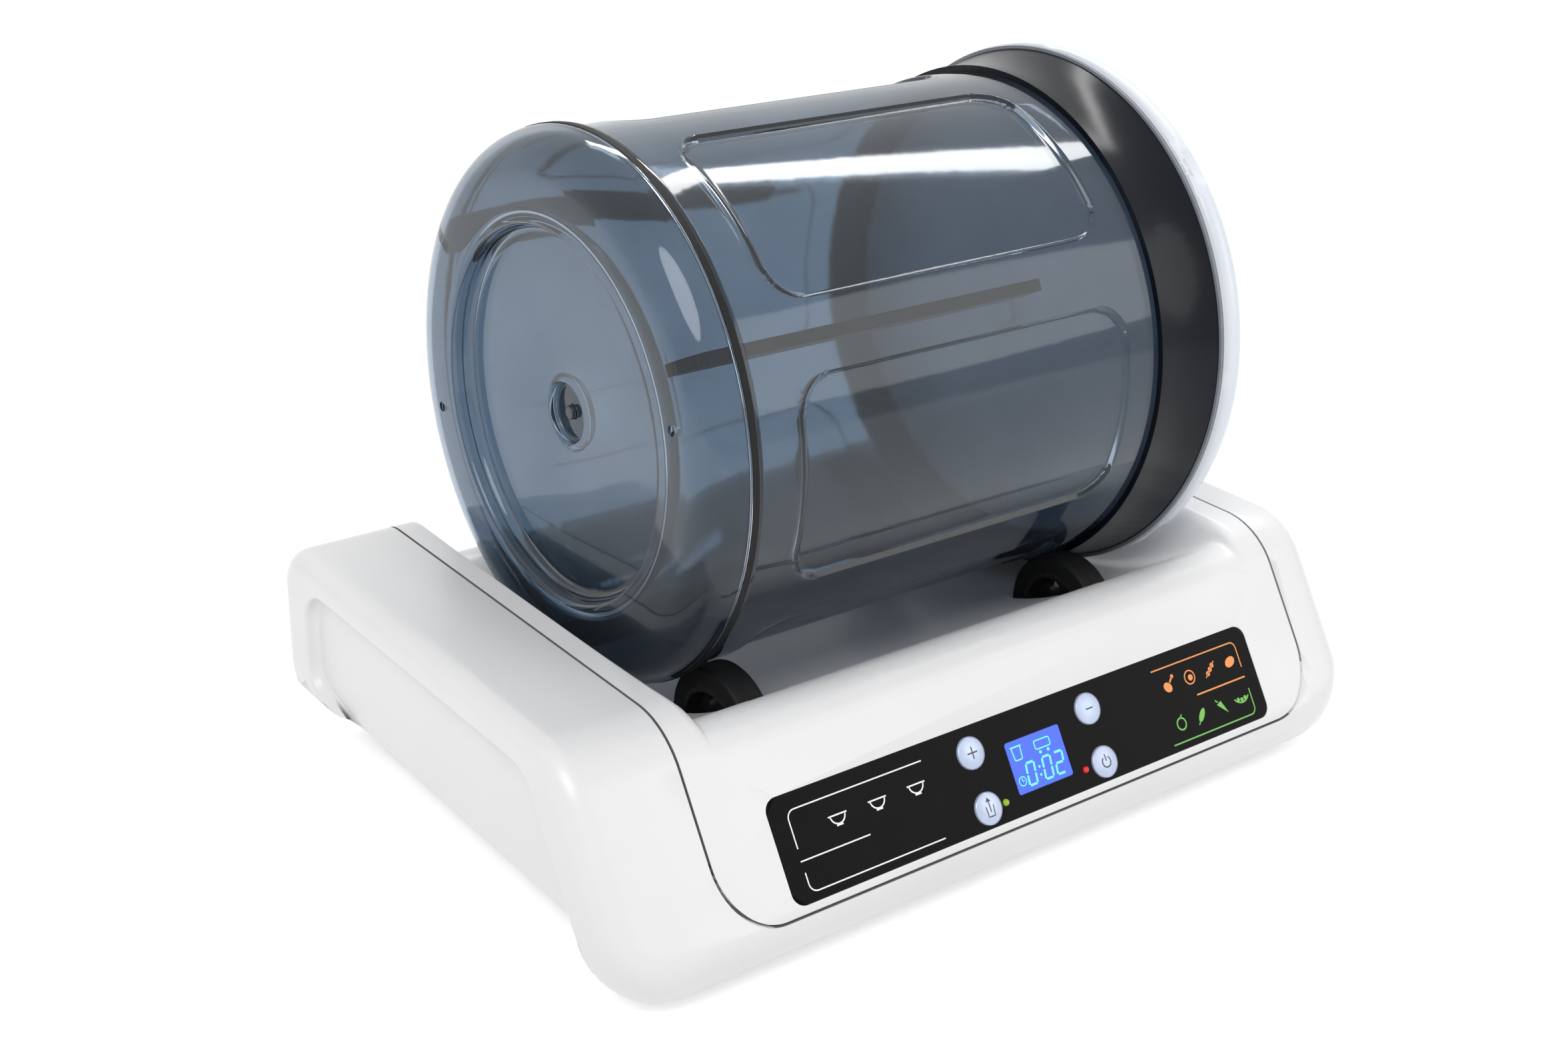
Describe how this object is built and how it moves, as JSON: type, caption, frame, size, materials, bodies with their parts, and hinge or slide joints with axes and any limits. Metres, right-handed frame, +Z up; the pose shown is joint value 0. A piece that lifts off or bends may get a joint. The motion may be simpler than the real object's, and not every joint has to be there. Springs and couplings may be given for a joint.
{
  "type": "vacuum meat tumbler",
  "caption": "Countertop vacuum tumbler: a smoky drum with a white lid turns on rubber rollers in a low white base with a sloped control panel.",
  "frame": {"origin": "middle of the footprint, on the table under the feet", "axes": "+X along the drum towards its lid, +Y from the control panel to the back, +Z up"},
  "size_m": [0.4056, 0.2934, 0.3015],
  "materials": {
    "housing_white": "gloss white moulded plastic",
    "plate_white": "matt off-white plastic",
    "rubber_black": "matt black rubber",
    "tyre_black": "satin black rubber tyre",
    "hub_black": "black nylon",
    "steel": "plain steel",
    "fascia_black": "gloss black printed film on a plastic plate",
    "lcd_clear": "clear blue-tinted display window",
    "lcd_blue": "blue display module",
    "board_green": "green circuit board",
    "button_silver": "silver-blue plated plastic",
    "led_red": "red diffused lens",
    "led_green": "green diffused lens",
    "nylon": "natural nylon",
    "bronze": "sintered bronze",
    "smoke_clear": "smoky blue-grey clear plastic",
    "fin_dark": "near-black plastic",
    "collar_navy": "near-black navy gloss plastic",
    "gasket_grey": "mid-grey silicone rubber",
    "lid_white": "gloss white plastic",
    "motor_grey": "zinc-plated motor case"
  },
  "bodies": {
    "base": {"lower_housing": "housing_white", "centre_cover": "housing_white", "base_plate": "plate_white", "feet": "rubber_black", "plate_screws": "steel", "fascia": "fascia_black", "lcd_window": "lcd_clear", "lcd_module": "lcd_blue", "control_board": "board_green", "board_posts": "nylon", "tact_switches": "hub_black", "led_red": "led_red", "led_green": "led_green", "axle_stands": "plate_white", "axle_bushes": "bronze", "gear_motor": "motor_grey", "motor_bracket": "steel", "vacuum_pump": "motor_grey", "pump_cradle": "plate_white", "vacuum_hose": "rubber_black", "vacuum_port": "hub_black", "power_inlet": "hub_black", "power_board": "board_green"},
    "drum": {"drum_shell": "smoke_clear", "mixing_fins": "fin_dark", "drum_ring": "rubber_black", "drum_collar": "collar_navy", "lid_gasket": "gasket_grey"},
    "lid": {"lid": "lid_white", "valve_seal": "gasket_grey"},
    "valve": {"valve_knob": "lid_white"},
    "front_rollers": {"front_axle": "steel", "front_hubs": "hub_black", "front_tyres": "tyre_black", "drive_gear": "nylon"},
    "rear_rollers": {"rear_axle": "steel", "rear_hubs": "hub_black", "rear_tyres": "tyre_black"},
    "motor_pinion": {"pinion": "steel", "motor_shaft": "steel"},
    "button_plus": {"button_plus": "button_silver"},
    "button_minus": {"button_minus": "button_silver"},
    "button_vacuum": {"button_vacuum": "button_silver"},
    "button_power": {"button_power": "button_silver"}
  },
  "joints": [
    {"name": "drum_spin", "type": "hinge", "parent": "base", "child": "drum", "pos_m": [0.0118, 0.02314, 0.1779], "axis": [1, 0, 0], "continuous": true},
    {"name": "front_rollers_spin", "type": "hinge", "parent": "base", "child": "front_rollers", "pos_m": [0.0118, -0.05885, 0.06087], "axis": [1, 0, 0], "continuous": true},
    {"name": "rear_rollers_spin", "type": "hinge", "parent": "base", "child": "rear_rollers", "pos_m": [0.0118, 0.09115, 0.05222], "axis": [1, 0, 0], "continuous": true},
    {"name": "motor_pinion_spin", "type": "hinge", "parent": "base", "child": "motor_pinion", "pos_m": [-0.1382, -0.0259, 0.02597], "axis": [1, 0, 0], "continuous": true},
    {"name": "lid_pull", "type": "slide", "parent": "drum", "child": "lid", "axis": [1, 0, 0], "range_m": [0, 0.003]},
    {"name": "valve_pull", "type": "slide", "parent": "lid", "child": "valve", "axis": [1, 0, 0], "range_m": [0, 0.003]},
    {"name": "press_plus", "type": "slide", "parent": "base", "child": "button_plus", "axis": [0, 0.8387, -0.5446], "range_m": [0, 0.0008], "stiffness_N_per_m": 1200},
    {"name": "press_minus", "type": "slide", "parent": "base", "child": "button_minus", "axis": [0, 0.8387, -0.5446], "range_m": [0, 0.0008], "stiffness_N_per_m": 1200},
    {"name": "press_vacuum", "type": "slide", "parent": "base", "child": "button_vacuum", "axis": [0, 0.8387, -0.5446], "range_m": [0, 0.0008], "stiffness_N_per_m": 1200},
    {"name": "press_power", "type": "slide", "parent": "base", "child": "button_power", "axis": [0, 0.8387, -0.5446], "range_m": [0, 0.0008], "stiffness_N_per_m": 1200}
  ],
  "couplings": [
    {"joint": "front_rollers_spin", "follows": "drum_spin", "ratio": -4.0929},
    {"joint": "rear_rollers_spin", "follows": "drum_spin", "ratio": -4.0929},
    {"joint": "motor_pinion_spin", "follows": "drum_spin", "ratio": 7.8136}
  ]
}
